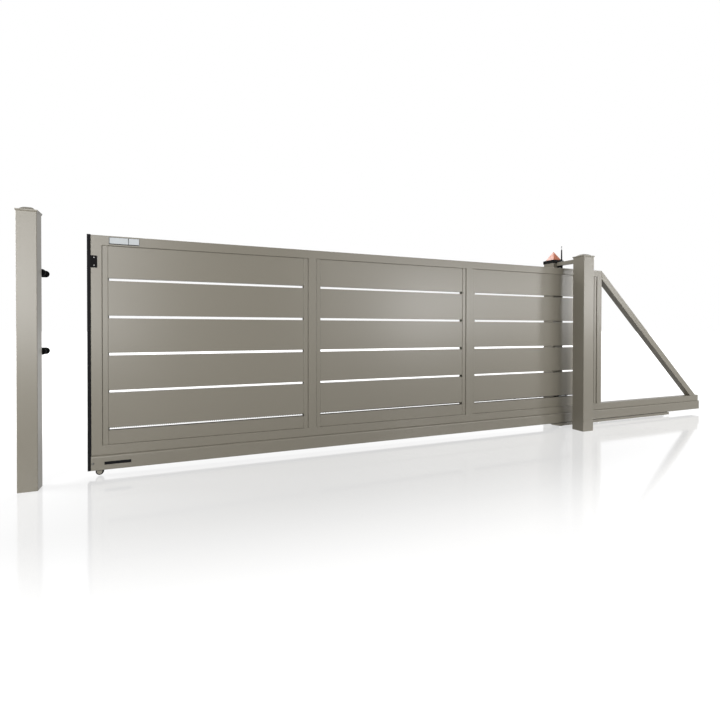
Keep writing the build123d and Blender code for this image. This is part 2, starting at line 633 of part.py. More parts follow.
def rear_roller_bracket():
    """The black bar under the crossbar with the rear roller's pin."""
    y = LEAF_BACK_Y + GUIDE_ROLLER_RADIUS + GUIDE_ROLLER_PLAY
    low_z = CROSSBAR_Z - BRACKET_HEIGHT
    outline = Polyline((y - BRACKET_NOSE, low_z), (DRIVE_FRONT_Y - BRACKET_HEEL, low_z),
                       (DRIVE_FRONT_Y, low_z + BRACKET_HEEL), (DRIVE_FRONT_Y, CROSSBAR_Z),
                       (y - BRACKET_NOSE, CROSSBAR_Z), close=True)
    x_start = REAR_ROLLER_X - BRACKET_WIDTH / 2
    body = profile_x(make_face(outline), x_start, x_start + BRACKET_WIDTH)
    pin = Pos(REAR_ROLLER_X, y) * Circle(GUIDE_PIN_RADIUS)
    collar = Pos(REAR_ROLLER_X, y) * Circle(GUIDE_PIN_RADIUS + PIN_COLLAR)
    body += profile_z(pin, GUIDE_ROLLER_Z, low_z + PINCH)
    return body + profile_z(collar, GUIDE_ROLLER_TOP + RUNNING_PLAY, low_z + PINCH)


def front_roller_arm():
    """The arm from the guide post's back to the front roller's pin."""
    y = LEAF_FRONT_Y - GUIDE_ROLLER_RADIUS - GUIDE_ROLLER_PLAY
    low_z = GUIDE_ROLLER_TOP + RUNNING_PLAY
    foot_right = POST_SIZE / 2 - ARM_FOOT_INSET
    foot_x = (foot_right - ARM_FOOT_WIDTH, foot_right)
    foot_y = (POST_BACK_Y, POST_BACK_Y + ARM_THICKNESS)
    heel = Pos(sum(foot_x) / 2, sum(foot_y) / 2) * Rectangle(ARM_FOOT_WIDTH, ARM_THICKNESS)
    eye = Pos(FRONT_ROLLER_X, y) * Circle(ARM_EYE_RADIUS)
    outline = make_hull(heel.edges() + eye.edges())
    arm = profile_z(outline, low_z, low_z + ARM_THICKNESS)
    arm += block(foot_x, foot_y, (low_z - ARM_FOOT_DEPTH, low_z + PINCH))
    pin = Pos(FRONT_ROLLER_X, y) * Circle(GUIDE_PIN_RADIUS)
    return arm + profile_z(pin, GUIDE_ROLLER_Z, low_z + PINCH)


def catch_fork(middle_z):
    """Two round-ended fingers that take the leading edge, on a block behind the catch post."""
    post_right = CATCH_X + CATCH_SIZE / 2
    post_back = CATCH_Y + CATCH_SIZE / 2
    tip_x = post_right + FORK_REACH
    web_x = tip_x - FORK_DEPTH
    radius = FORK_FINGER_HEIGHT / 2
    near_y = LEAF_FRONT_Y - FORK_CLEARANCE - FORK_PLATE
    far_y = LEAF_BACK_Y + FORK_CLEARANCE + FORK_PLATE
    finger_length = tip_x - radius - (web_x - FORK_PLATE)
    finger = Pos(tip_x - radius, middle_z) * Circle(radius)
    finger += Pos(tip_x - radius - finger_length / 2, middle_z) * Rectangle(finger_length, 2 * radius)
    fork = profile_y(finger, near_y, near_y + FORK_PLATE)
    fork += profile_y(finger, far_y - FORK_PLATE, far_y)
    z_range = (middle_z - radius, middle_z + radius)
    fork += block((web_x - FORK_PLATE, web_x), (near_y, far_y), z_range)
    block_x = (web_x - FORK_PLATE, web_x - FORK_PLATE + FORK_BLOCK)
    return fork + block(block_x, (post_back, near_y + PINCH), z_range)


def base_channel():
    """The channel on the ground under the carriages; the nose wheel fits the slot in its sloping end."""
    top_z = BASE_LIFT + BASE_HEIGHT
    tip_x = BASE_LEFT_X - BASE_NOSE
    section = Rectangle(BASE_WIDTH, BASE_HEIGHT)
    section -= Pos(0, -BASE_WALL / 2) * Rectangle(BASE_WIDTH - 2 * BASE_WALL, BASE_HEIGHT - BASE_WALL)
    place = Pos(LEAF_MID_Y, top_z - BASE_HEIGHT / 2)
    body = profile_x(place * section, tip_x, BASE_LEFT_X + BASE_LENGTH)
    past_x = tip_x - CUT_PAST
    past_z = BASE_LIFT - CUT_PAST
    tip_z = top_z - BASE_WALL
    slope = Polyline((BASE_LEFT_X, BASE_LIFT), (tip_x, tip_z), (past_x, tip_z), (past_x, past_z),
                     (BASE_LEFT_X, past_z), close=True)
    half = BASE_WIDTH / 2 + CUT_PAST
    body -= profile_y(make_face(slope), LEAF_MID_Y - half, LEAF_MID_Y + half)
    slot_half = nose_pin_half() + NOSE_SLOT_PLAY
    slot_y = (LEAF_MID_Y - slot_half, LEAF_MID_Y + slot_half)
    return body - block((past_x, BASE_LEFT_X - NOSE_SLOT_INSET), slot_y, (past_z, top_z + CUT_PAST))


def base_feet():
    """Levelling feet between the ground and the channel's top plate."""
    feet = []
    first_x = BASE_LEFT_X + FOOT_INSET
    pitch = (BASE_LENGTH - 2 * FOOT_INSET) / (BASE_FEET - 1)
    stud_top = BASE_LIFT + BASE_HEIGHT - BASE_WALL
    for i in range(BASE_FEET):
        place = Pos(first_x + i * pitch, LEAF_MID_Y)
        foot = profile_z(place * Circle(FOOT_RADIUS), 0, BASE_LIFT)
        feet += (foot + profile_z(place * Circle(FOOT_STUD_RADIUS), BASE_LIFT, stud_top)).solids()
    return Compound(feet)


def carriage_middles():
    """Middle of the front and of the rear carriage."""
    inset = CARRIAGE_END_INSET + CARRIAGE_LENGTH / 2
    return BASE_LEFT_X + inset, BASE_LEFT_X + BASE_LENGTH - inset


def roller_places(middle_x):
    """Roller pin positions of one carriage along the track."""
    first = middle_x - ROLLER_PITCH * (ROLLERS_PER_SIDE - 1) / 2
    return [first + i * ROLLER_PITCH for i in range(ROLLERS_PER_SIDE)]


def carriage(middle_x):
    """The upright plate of a carriage with its roller pins."""
    half = CARRIAGE_PLATE / 2
    top_z = ROLLER_Z + CARRIAGE_TOP
    low_z = BASE_LIFT + BASE_HEIGHT
    outline = Pos(middle_x, (low_z + top_z) / 2) * Rectangle(CARRIAGE_LENGTH, top_z - low_z)
    upper = outline.vertices().group_by(Axis.Y)[-1]
    plate = profile_y(fillet(upper, CARRIAGE_CORNER), LEAF_MID_Y - half, LEAF_MID_Y + half)
    pin_half = half + ROLLER_SIDE_PLAY + ROLLER_WIDTH
    for x in roller_places(middle_x):
        pin = Pos(x, ROLLER_Z) * Circle(ROLLER_PIN_RADIUS)
        plate += profile_y(pin, LEAF_MID_Y - pin_half, LEAF_MID_Y + pin_half)
    return plate


def carriage_rollers():
    """All the carriage rollers, a ring round each end of each pin."""
    rollers = []
    ring = Circle(ROLLER_RADIUS) - Circle(ROLLER_PIN_RADIUS + 2 * RUNNING_PLAY)
    inner = CARRIAGE_PLATE / 2 + ROLLER_SIDE_PLAY
    for middle_x in carriage_middles():
        for x in roller_places(middle_x):
            for side in (-1, 1):
                near, far = sorted((LEAF_MID_Y + side * inner, LEAF_MID_Y + side * (inner + ROLLER_WIDTH)))
                rollers += profile_y(Pos(x, ROLLER_Z) * ring, near, far).solids()
    return Compound(rollers)


def rack_bar(first_tooth, teeth):
    """One bar of rack, cut off at the middle of a tooth space at each end."""
    lean = math.tan(math.radians(PRESSURE_ANGLE))
    half_tooth = (CIRCULAR_PITCH - BACKLASH) / 4
    tip_half = half_tooth - MODULE * lean
    root_half = half_tooth + DEDENDUM * MODULE * lean
    root_z = RACK_PITCH_Z + DEDENDUM * MODULE
    start = first_tooth * CIRCULAR_PITCH + RACK_JOINT / 2
    end = (first_tooth + teeth) * CIRCULAR_PITCH - RACK_JOINT / 2
    outline = [(start, root_z)]
    for i in range(teeth):
        middle = (first_tooth + i + 0.5) * CIRCULAR_PITCH
        outline += [(middle - root_half, root_z), (middle - tip_half, RACK_TIP_Z)]
        outline += [(middle + tip_half, RACK_TIP_Z), (middle + root_half, root_z)]
    outline += [(end, root_z), (end, RACK_TOP_Z), (start, RACK_TOP_Z)]
    face = Pos(PINION_X, 0) * make_face(Polyline(*outline, close=True))
    return profile_y(face, RACK_FRONT_Y, RACK_FRONT_Y + RACK_WIDTH)


def drive_rack():
    """The toothed rack behind the leaf, in bars laid end to end."""
    bars = []
    first = -int((PINION_X - LEADING_X - RACK_END_INSET) // CIRCULAR_PITCH)
    last = int((FRAME_END_X - RACK_END_INSET - PINION_X) // CIRCULAR_PITCH)
    while first < last:
        teeth = min(RACK_BAR_TEETH, last - first)
        bars += rack_bar(first, teeth).solids()
        first += teeth
    return Compound(bars)


def rack_carrier():
    """The angle on the backs of the stiles that the rack is screwed to."""
    x_range = (LEADING_X, FRAME_END_X)
    back_y = RACK_FRONT_Y + RACK_WIDTH + CARRIER_LIP
    leg = block(x_range, (LEAF_BACK_Y, RACK_FRONT_Y), (RACK_TOP_Z - CARRIER_LEG, RACK_TOP_Z + PINCH))
    return leg + block(x_range, (LEAF_BACK_Y, back_y), (RACK_TOP_Z, RACK_TOP_Z + CARRIER_PLATE))


def pinion_outline():
    """The involute outline of the pinion, with one tooth pointing straight up."""
    base_radius = PINION_RADIUS * math.cos(math.radians(PRESSURE_ANGLE))
    tip_radius = PINION_RADIUS + MODULE
    root_radius = PINION_RADIUS - DEDENDUM * MODULE
    half_angle = (CIRCULAR_PITCH - BACKLASH) / 4 / PINION_RADIUS

    def involute(radius):
        roll = math.sqrt(max((radius / base_radius) ** 2 - 1, 0))
        return roll - math.atan(roll)

    flank = []
    for i in range(FLANK_POINTS):
        radius = base_radius + (tip_radius - base_radius) * i / (FLANK_POINTS - 1)
        flank.append((radius, half_angle + involute(PINION_RADIUS) - involute(radius)))
    flank.insert(0, (root_radius, flank[0][1]))
    points = []
    for tooth in range(PINION_TEETH):
        middle = math.pi / 2 - tooth * 2 * math.pi / PINION_TEETH
        rising = [(radius, middle + angle) for radius, angle in flank]
        falling = [(radius, middle - angle) for radius, angle in reversed(flank)]
        points += [(radius * math.cos(a), radius * math.sin(a)) for radius, a in rising + falling]
    return make_face(Polyline(*points, close=True))


def drive_pinion():
    """The pinion with its hub and shaft in one piece."""
    front_y = LEAF_BACK_Y + PINION_LEAF_GAP
    gear_back = front_y + PINION_WIDTH
    hub_back = DRIVE_FRONT_Y - FLANGE_THICKNESS - FLANGE_BOSS - PINION_HUB_PLAY
    place = Pos(PINION_X, PINION_Z)
    gear = profile_y(place * pinion_outline(), front_y, gear_back)
    gear += profile_y(place * Circle(PINION_HUB_RADIUS), gear_back, hub_back)
    return gear + profile_y(place * Circle(PINION_SHAFT_RADIUS), hub_back, DRIVE_FRONT_Y - PINCH)


def drive_flange():
    """The bearing flange on the drive post that the pinion shaft runs in."""
    place = Pos(PINION_X, PINION_Z)
    face_y = DRIVE_FRONT_Y - FLANGE_THICKNESS
    flange = profile_y(place * Circle(FLANGE_RADIUS), face_y, DRIVE_FRONT_Y)
    flange += profile_y(place * Circle(FLANGE_BOSS_RADIUS), face_y - FLANGE_BOSS, face_y)
    bore = place * Circle(PINION_SHAFT_RADIUS + RUNNING_PLAY)
    return flange - profile_y(bore, face_y - FLANGE_BOSS - CUT_PAST, DRIVE_FRONT_Y + CUT_PAST)


def limit_sensor():
    """The sensor under the rack on its bracket from the drive post."""
    width, depth, height = SENSOR_SIZE
    top_z = RACK_TIP_Z - SENSOR_RACK_GAP
    front_y = RACK_FRONT_Y + RACK_WIDTH / 2
    x_range = (SENSOR_X - width / 2, SENSOR_X + width / 2)
    body = block(x_range, (front_y, front_y + depth), (top_z - height, top_z))
    body = fillet(body.edges().filter_by(Axis.Y), SENSOR_CORNER)
    arm_low = top_z - height
    bracket_right = POST_SIZE / 2
    arm = block((SENSOR_X - width / 2, bracket_right), (front_y + depth / 2, DRIVE_FRONT_Y),
                (arm_low - SENSOR_BRACKET, arm_low))
    foot = block((SENSOR_X - width / 2, bracket_right), (DRIVE_FRONT_Y - SENSOR_BRACKET, DRIVE_FRONT_Y),
                 (arm_low - SENSOR_BRACKET - SENSOR_FOOT, arm_low))
    return body + arm + foot


parts = {
    "guide_post": post(0, 0, POST_SIZE, POST_ANCHOR_SPACING),
    "guide_post_cap": post_cap(0, 0, POST_SIZE),
    "catch_post": post(CATCH_X, CATCH_Y, CATCH_SIZE, CATCH_ANCHOR_SPACING),
    "catch_post_cap": post_cap(CATCH_X, CATCH_Y, CATCH_SIZE),
    "drive_post": post(0, DRIVE_Y, POST_SIZE, POST_ANCHOR_SPACING),
    "lamp_base": lamp_base(),
    "lamp_lens": lamp_lens(),
    "aerial": aerial(),
    "crossbar": crossbar(),
    "rear_roller_bracket": rear_roller_bracket(),
    "rear_guide_roller": guide_roller(REAR_ROLLER_X, 1),
    "front_roller_arm": front_roller_arm(),
    "front_guide_roller": guide_roller(FRONT_ROLLER_X, -1),
    "base_channel": base_channel(),
    "base_feet": base_feet(),
    "carriage_rollers": carriage_rollers(),
    "drive_flange": drive_flange(),
    "limit_sensor": limit_sensor(),
    "drive_pinion": drive_pinion(),
    "drive_rack": drive_rack(),
    "rack_carrier": rack_carrier(),
    "track_rail": track_rail(),
    "rail_tail_cap": tail_cap(),
    "rail_nose": rail_nose(),
    "nose_wheel": nose_wheel(),
    "bottom_rail": bottom_rail(),
    "top_rail": top_rail(),
    "leading_stile": leading_stile(),
    "mullion_1": mullion(BAY_STARTS[1] - FRAME_SIZE),
    "mullion_2": mullion(BAY_STARTS[2] - FRAME_SIZE),
    "trailing_stile": trailing_stile(),
    "tail_strut": tail_strut(),
    "safety_edge": safety_edge(),
    "latch_plate": latch_plate(),
    "info_plate": info_plate(),
    "name_plate": name_plate(),
}
for fork_name, fork_z in FORK_HEIGHTS.items():
    parts[fork_name] = catch_fork(fork_z)
for carriage_name, carriage_x in zip(("front_carriage", "rear_carriage"), carriage_middles()):
    parts[carriage_name] = carriage(carriage_x)
for bay_number in range(3):
    parts[f"bay_{bay_number + 1}_planks"] = bay_planks(bay_number)
    parts[f"bay_{bay_number + 1}_channels"] = bay_channels(bay_number)

os.makedirs("parts", exist_ok=True)
for node, shape in parts.items():
    export_step(shape, f"parts/{node}.step")
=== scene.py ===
import json
import math

import bpy
from mathutils import Matrix, Vector


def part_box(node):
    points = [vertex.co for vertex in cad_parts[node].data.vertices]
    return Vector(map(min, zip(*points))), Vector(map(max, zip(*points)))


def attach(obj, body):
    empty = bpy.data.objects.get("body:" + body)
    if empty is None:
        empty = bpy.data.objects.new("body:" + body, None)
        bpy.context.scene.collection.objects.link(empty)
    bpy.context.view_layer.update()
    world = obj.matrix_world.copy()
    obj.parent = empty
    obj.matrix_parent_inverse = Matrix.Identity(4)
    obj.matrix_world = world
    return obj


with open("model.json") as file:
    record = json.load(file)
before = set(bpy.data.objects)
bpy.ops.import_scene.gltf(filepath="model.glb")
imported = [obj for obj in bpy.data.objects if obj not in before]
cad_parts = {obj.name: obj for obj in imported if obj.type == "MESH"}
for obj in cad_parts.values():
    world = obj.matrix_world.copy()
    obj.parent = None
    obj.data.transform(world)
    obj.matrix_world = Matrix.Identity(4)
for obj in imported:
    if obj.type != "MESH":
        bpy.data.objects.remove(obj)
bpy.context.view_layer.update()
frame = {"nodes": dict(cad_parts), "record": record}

# Camera of the photograph, in pixels of its 720 pixel square, metres and degrees
PHOTO = 720
FOCAL_PIXELS = 451.07
AXIS_ROW = 333.53
SENSOR = 36.0
CAMERA_PLACE = (-3.4076, -2.9809, 0.9003)
CAMERA_DOWN = 0.503
CAMERA_ROLL = -0.08
CAMERA_TURN = 22.501

# Studio: name, place, what it faces, width and height in metres, radiance
SOFT_BOXES = (
    ("left_box", (-5.4, -3.5, 1.3), (-5.4, 0.1, 1.3), (1.2, 1.1), 19.0),
    ("left_upper_box", (-4.9, -3.5, 2.3), (-4.9, 0.1, 2.3), (2.2, 0.9), 10.5),
    ("gate_left_box", (-4.3, -3.5, 1.0), (-4.3, 0.1, 1.0), (1.0, 0.5), 15.5),
    ("middle_box", (-0.7, -3.5, 1.75), (-0.7, 0.1, 1.75), (1.4, 2.0), 3.0),
    ("right_box", (0.45, -3.5, 1.3), (0.45, 0.1, 1.3), (0.9, 1.1), 17.5),
    ("past_right_box", (1.75, -3.5, 1.45), (1.75, 0.1, 1.45), (1.7, 0.9), 12.0),
    ("far_right_box", (4.2, -3.5, 1.45), (4.2, 0.1, 1.45), (1.2, 0.9), 22.0),
    ("far_right_upper_box", (4.2, -3.5, 2.35), (4.2, 0.1, 2.35), (1.2, 0.9), 14.0),
    ("side_box", (-8.5, 0.6, 1.6), (-1.0, 0.2, 0.9), (3.0, 3.0), 17.0),
    ("back_box", (-1.0, 4.6, 5.2), (-1.0, 0.2, 0.6), (6.0, 1.6), 8.0),
)
WORLD_LEVEL = 0.1             # what lights the gate besides the boxes
FLOOR_SIZE = 400.0
FLOOR_COLOUR = 0.2
FLOOR_ROUGHNESS = 0.09
FLOOR_GLOW_SHADED_NEAR_GATE = (0.58, 0.84)     # near the gate, lowered there as painted shade, and away from it
PAINTED_SHADE_REACH = (0.75, 1.85)     # over which the painted shade fades out, from the leaf's middle, in metres
LEAF_MIDDLE = 0.193

# Dark rims of the two bare plates, the info plate's rim wider at its foot and left side as painted shadow
# under and beside the plate; these and the sizes below are in metres
INFO_RIM_SHADOW_FOOT = 0.0042
INFO_RIM_SHADOW_LEFT = 0.0026
INFO_RIM = 0.0012
NAME_RIM = 0.0015
RIM_HEIGHT = 0.0008
DIVIDER_SHARE = 0.638         # along the plate, from its left end
DIVIDER_WIDTH = 0.003

# Hexagon heads: width over the flats, height, and their washer's width and height
RACK_SCREW = (0.010, 0.004, 0.014, 0.001)
BRACKET_BOLT = (0.010, 0.0045, 0.016, 0.0012)
ROLLER_NUT = (0.013, 0.006, 0.018, 0.0015)
ROLLER_CLIP = (0.011, 0.003, 0.018, 0.0012)
FLANGE_BOLT = (0.008, 0.004, 0.012, 0.001)
FOOT_NUT = (0.019, 0.0035, 0.026, 0.0012)

HEAD_CHAMFER = 0.1            # share of the head's width
HEX_SIDES = 6
HEX_WASHER_SIDES = 20
HEX_WASHER_EDGE = 0.3         # share of the washer's height

# Round heads: width and height
LATCH_SCREW = (0.0075, 0.002)
NOSE_SCREW = (0.0078, 0.0025)
BRACKET_SCREW = (0.009, 0.0025)
PAN_SIDES = 18
PAN_FOOT = 0.5                # share of the height below the rounding
PAN_STEPS = ((0.08, 0.3), (0.13, 0.2))    # inset as a share of the width, rise as a share of the height
RECESS_RIM = 0.08             # share of the width
RECESS_DEPTH = 0.45           # share of the height

# Where the fasteners sit
LATCH_SCREW_ACROSS = 0.55     # share of the plate's width
LATCH_SCREWS_UP = (0.19, 0.83)
NOSE_SCREW_INSET = 0.0105     # from the track's leading end
NOSE_SCREW_Z = 0.0855
NOSE_WASHER_RADIUS = 0.0068
NOSE_WASHER = 0.0008
NOSE_WASHER_SIDES = 24
NOSE_WASHER_EDGE = 0.4        # share of its height
RACK_SCREWS = 18
RACK_SCREW_INSET = 0.05
ARM_BOLT_X = 0.022            # from the arm's end to the middle of its foot
ARM_BOLT_Y = 0.006
ARM_BOLT_DROP = 0.028
ARM_BOLT_SPREAD = 0.012
BRACKET_SCREW_DEPTH = 0.0015
BRACKET_SCREW_DROP = 0.0095
BRACKET_SCREWS_Y = (-0.004, 0.016)
FORK_BOLT_Y = 0.014
FORK_BOLT_SPREAD = 0.010
FLANGE_CIRCLE = 0.0375
FLANGE_PLATE = 0.010
FLANGE_BOLTS = 4
FOOT_INSET = 0.015
FOOT_SHARES = (1 / 3, 2 / 3)

# End caps of the rubber profile: height, and their rounding as a share of it
EDGE_CAP = 0.003
EDGE_CAP_ROUND = 0.3

# Sleeve and collar of the aerial, then the board and stem under the lens
SLEEVE = 0.098
SLEEVE_RADII = (0.0068, 0.0056)
SLEEVE_SIDES = 28
COLLAR_RADIUS = 0.0088
COLLAR = 0.006
SLEEVE_EDGE = 0.002
BOARD_RADIUS = 0.032
BOARD = 0.003
BOARD_SIDES = 32
STEM_RADIUS = 0.014
STEM = 0.02
STEM_SIDES = 24
STEM_STEP = 0.004

# Colours, linear
PAINT = (0.170, 0.156, 0.125)
BLACK_PAINT = (0.003, 0.003, 0.0033)
BLACK_PLASTIC = (0.006, 0.006, 0.0065)
RUBBER = (0.0085, 0.0085, 0.0095)
NYLON = (0.012, 0.012, 0.0125)
ZINC = (0.55, 0.56, 0.56)
DULL_STEEL = (0.22, 0.22, 0.21)
PLATE = (0.42, 0.44, 0.45)
AMBER = (0.55, 0.17, 0.085)
LED = (0.85, 0.83, 0.78)
DUST_COLOUR = (0.42, 0.38, 0.32)
WHITE = (1.0, 1.0, 1.0, 1.0)

# Noise in the finishes
DRIFT_DETAIL = 3.0
SPECKLE_DETAIL = 1.0
SPECKLE_ROUGHNESS = 0.5       # its share of the roughness drift
GRAIN_DETAIL = 2.0
GRAIN_DEPTH = 0.0004          # in metres
COARSE_SCALE = 0.27           # share of the grain's own scale
COARSE_DETAIL = 1.0
PATCH_SCALE = 18.0
PATCH_DETAIL = 5.0
PATCH_LEVEL = 0.6

SMOOTH_BELOW = 40.0           # degrees between two faces
FACES_UP = 0.9                # least upward share of a face's normal
SAME_HEIGHT = 1e-6            # in metres


def colour(rgb):
    """The same colour with full opacity."""
    return (*rgb, 1.0)


def shader_group(name, inputs, outputs):
    """An empty node group with named float inputs and outputs of the given kinds."""
    group = bpy.data.node_groups.new(name, "ShaderNodeTree")
    for label, value in inputs:
        socket = group.interface.new_socket(name=label, in_out="INPUT", socket_type="NodeSocketFloat")
        socket.default_value = value
    for label, kind in outputs:
        group.interface.new_socket(name=label, in_out="OUTPUT", socket_type=kind)
    entry = group.nodes.new("NodeGroupInput")
    leave = group.nodes.new("NodeGroupOutput")
    return group, entry, leave


def maths(tree, operation, first, second):
    """A Math node fed by sockets or plain numbers."""
    node = tree.nodes.new("ShaderNodeMath")
    node.operation = operation
    for index, value in enumerate((first, second)):
        if isinstance(value, (int, float)):
            node.inputs[index].default_value = value
        else:
            tree.links.new(value, node.inputs[index])
    return node.outputs[0]


def noise(tree, place, scale, detail):
    """Noise centred on zero, between about -0.5 and 0.5."""
    node = tree.nodes.new("ShaderNodeTexNoise")
    node.inputs["Detail"].default_value = detail
    tree.links.new(place, node.inputs["Vector"])
    if isinstance(scale, (int, float)):
        node.inputs["Scale"].default_value = scale
    else:
        tree.links.new(scale, node.inputs["Scale"])
    return maths(tree, "SUBTRACT", node.outputs["Fac"], 0.5)


def make_drift_group():
    """Brightness and roughness that wander slowly over a surface, with a fine speckle on top."""
    inputs = (("Scale", 1.5), ("Drift", 0.1), ("Speckle Scale", 900.0), ("Speckle", 0.1), ("Roughness", 0.4),
              ("Roughness Drift", 0.1))
    group, entry, leave = shader_group("tone drift", inputs, (("Brightness", "NodeSocketFloat"),
                                                              ("Roughness", "NodeSocketFloat")))
    place = group.nodes.new("ShaderNodeTexCoord").outputs["Object"]
    slow = noise(group, place, entry.outputs["Scale"], DRIFT_DETAIL)
    fine = noise(group, place, entry.outputs["Speckle Scale"], SPECKLE_DETAIL)
    shift = maths(group, "MULTIPLY", slow, entry.outputs["Drift"])
    dots = maths(group, "MULTIPLY", fine, entry.outputs["Speckle"])
    total = maths(group, "ADD", maths(group, "ADD", shift, dots), 1.0)
    group.links.new(total, leave.inputs["Brightness"])
    rough_shift = maths(group, "MULTIPLY", slow, entry.outputs["Roughness Drift"])
    rough_speckle = maths(group, "MULTIPLY", entry.outputs["Roughness Drift"], SPECKLE_ROUGHNESS)
    rough_dots = maths(group, "MULTIPLY", fine, rough_speckle)
    rough = maths(group, "ADD", maths(group, "ADD", rough_shift, rough_dots), entry.outputs["Roughness"])
    group.links.new(rough, leave.inputs["Roughness"])
    return group


def make_grain_group():
    """The height of a fine grain: pits of two sizes."""
    inputs = (("Scale", 800.0), ("Coarse Share", 0.5))
    group, entry, leave = shader_group("fine grain", inputs, (("Height", "NodeSocketFloat"),))
    place = group.nodes.new("ShaderNodeTexCoord").outputs["Object"]
    fine = noise(group, place, entry.outputs["Scale"], GRAIN_DETAIL)
    wide = maths(group, "MULTIPLY", entry.outputs["Scale"], COARSE_SCALE)
    coarse = noise(group, place, wide, COARSE_DETAIL)
    mixed = maths(group, "ADD", fine, maths(group, "MULTIPLY", coarse, entry.outputs["Coarse Share"]))
    group.links.new(mixed, leave.inputs["Height"])
    return group


def make_dust_group():
    """A mask that is strongest at the ground and fades out upwards, broken up by noise."""
    inputs = (("Top", 0.12), ("Amount", 0.5))
    group, entry, leave = shader_group("ground dust", inputs, (("Mask", "NodeSocketFloat"),))
    place = group.nodes.new("ShaderNodeTexCoord").outputs["Object"]
    split = group.nodes.new("ShaderNodeSeparateXYZ")
    group.links.new(place, split.inputs[0])
    share = maths(group, "DIVIDE", split.outputs["Z"], entry.outputs["Top"])
    fade = group.nodes.new("ShaderNodeClamp")
    group.links.new(maths(group, "SUBTRACT", 1.0, share), fade.inputs["Value"])
    patches = maths(group, "ADD", noise(group, place, PATCH_SCALE, PATCH_DETAIL), PATCH_LEVEL)
    broken = maths(group, "MULTIPLY", fade.outputs[0], patches)
    mask = maths(group, "MULTIPLY", broken, entry.outputs["Amount"])
    group.links.new(mask, leave.inputs["Mask"])
    return group


DRIFT = make_drift_group()
GRAIN = make_grain_group()
DUST = make_dust_group()


def place_group(tree, group, **values):
    """A group node with its own values; underscores stand for spaces in the input names."""
    node = tree.nodes.new("ShaderNodeGroup")
    node.node_tree = group
    for label, value in values.items():
        node.inputs[label.replace("_", " ")].default_value = value
    return node


def finish_material(name, rgb, drift, grain=None, bump=0.1, dust=0.0, **sockets):
    """A procedural finish: drifting tone, fine grain and, low down, a little dust."""
    material = bpy.data.materials.new(name)
    material.use_nodes = True
    tree = material.node_tree
    shader = tree.nodes["Principled BSDF"]
    for label, value in sockets.items():
        shader.inputs[label.replace("_", " ")].default_value = value
    tone = place_group(tree, DRIFT, **drift)
    shade = tree.nodes.new("ShaderNodeHueSaturation")
    shade.inputs["Color"].default_value = colour(rgb)
    tree.links.new(tone.outputs["Brightness"], shade.inputs["Value"])
    base = shade.outputs["Color"]
    if dust:
        mask = place_group(tree, DUST, Amount=dust)
        over = tree.nodes.new("ShaderNodeMix")
        over.data_type = "RGBA"
        tree.links.new(mask.outputs["Mask"], over.inputs["Factor"])
        tree.links.new(base, over.inputs["A"])
        over.inputs["B"].default_value = colour(DUST_COLOUR)
        base = over.outputs["Result"]
    tree.links.new(base, shader.inputs["Base Color"])
    tree.links.new(tone.outputs["Roughness"], shader.inputs["Roughness"])
    if grain:
        height = place_group(tree, GRAIN, **grain)
        relief = tree.nodes.new("ShaderNodeBump")
        relief.inputs["Strength"].default_value = bump
        relief.inputs["Distance"].default_value = GRAIN_DEPTH
        tree.links.new(height.outputs["Height"], relief.inputs["Height"])
        tree.links.new(relief.outputs["Normal"], shader.inputs["Normal"])
    return material


MATERIALS = {
    "gate_paint": finish_material(
        "satin_powder_coat", PAINT, dict(Scale=0.8, Drift=0.05, Speckle_Scale=1400.0, Speckle=0.12,
                                         Roughness=0.34, Roughness_Drift=0.05),
        grain=dict(Scale=1300.0, Coarse_Share=0.6), bump=0.03, dust=0.04, Specular_IOR_Level=0.35),
    "black_paint": finish_material(
        "black_powder_coat", BLACK_PAINT, dict(Scale=6.0, Drift=0.3, Speckle=0.3, Roughness=0.55),
        grain=dict(Scale=1100.0), bump=0.2, Specular_IOR_Level=0.04),
    "black_plastic": finish_material(
        "moulded_black", BLACK_PLASTIC, dict(Scale=8.0, Drift=0.3, Speckle=0.4, Roughness=0.62),
        grain=dict(Scale=1500.0), bump=0.3, Specular_IOR_Level=0.06),
    "edge_rubber": finish_material(
        "extruded_rubber", RUBBER, dict(Scale=5.0, Drift=0.3, Speckle=0.3, Roughness=0.7,
                                        Roughness_Drift=0.15),
        grain=dict(Scale=700.0, Coarse_Share=0.9), bump=0.2, dust=0.02, Specular_IOR_Level=0.05),
    "roller_nylon": finish_material(
        "turned_nylon", NYLON, dict(Scale=20.0, Drift=0.3, Speckle=0.2, Roughness=0.5),
        grain=dict(Scale=900.0), bump=0.15, Specular_IOR_Level=0.12),
    "rack_nylon": finish_material(
        "moulded_nylon", NYLON, dict(Scale=9.0, Drift=0.3, Speckle=0.25, Roughness=0.55),
        grain=dict(Scale=800.0), bump=0.25, Specular_IOR_Level=0.12),
    "zinc_steel": finish_material(
        "zinc_plate", ZINC, dict(Scale=30.0, Drift=0.25, Speckle_Scale=400.0, Speckle=0.2, Roughness=0.36,
                                 Roughness_Drift=0.2),
        grain=dict(Scale=500.0), bump=0.12, dust=0.25, Metallic=1.0),
    "pale_plate": finish_material(
        "bare_plate", PLATE, dict(Scale=10.0, Drift=0.08, Speckle=0.08, Roughness=0.5),
        grain=dict(Scale=600.0), bump=0.05, Specular_IOR_Level=0.25),
    "amber_lens": finish_material(
        "amber_moulding", AMBER, dict(Scale=12.0, Drift=0.08, Speckle=0.05, Roughness=0.34),
        grain=dict(Scale=300.0), bump=0.2, Transmission_Weight=0.2, IOR=1.49),
}
DULL_SCREW = finish_material(
    "dull_screw", DULL_STEEL, dict(Scale=60.0, Drift=0.2, Speckle=0.1, Roughness=0.5), Metallic=1.0)
LED_WHITE = finish_material("led_white", LED, dict(Scale=50.0, Drift=0.1, Roughness=0.35))

for part in frame["record"]["subparts"]:
    for holder in frame["nodes"][part["node"]].material_slots:
        holder.material = MATERIALS[part["material_slot"]]


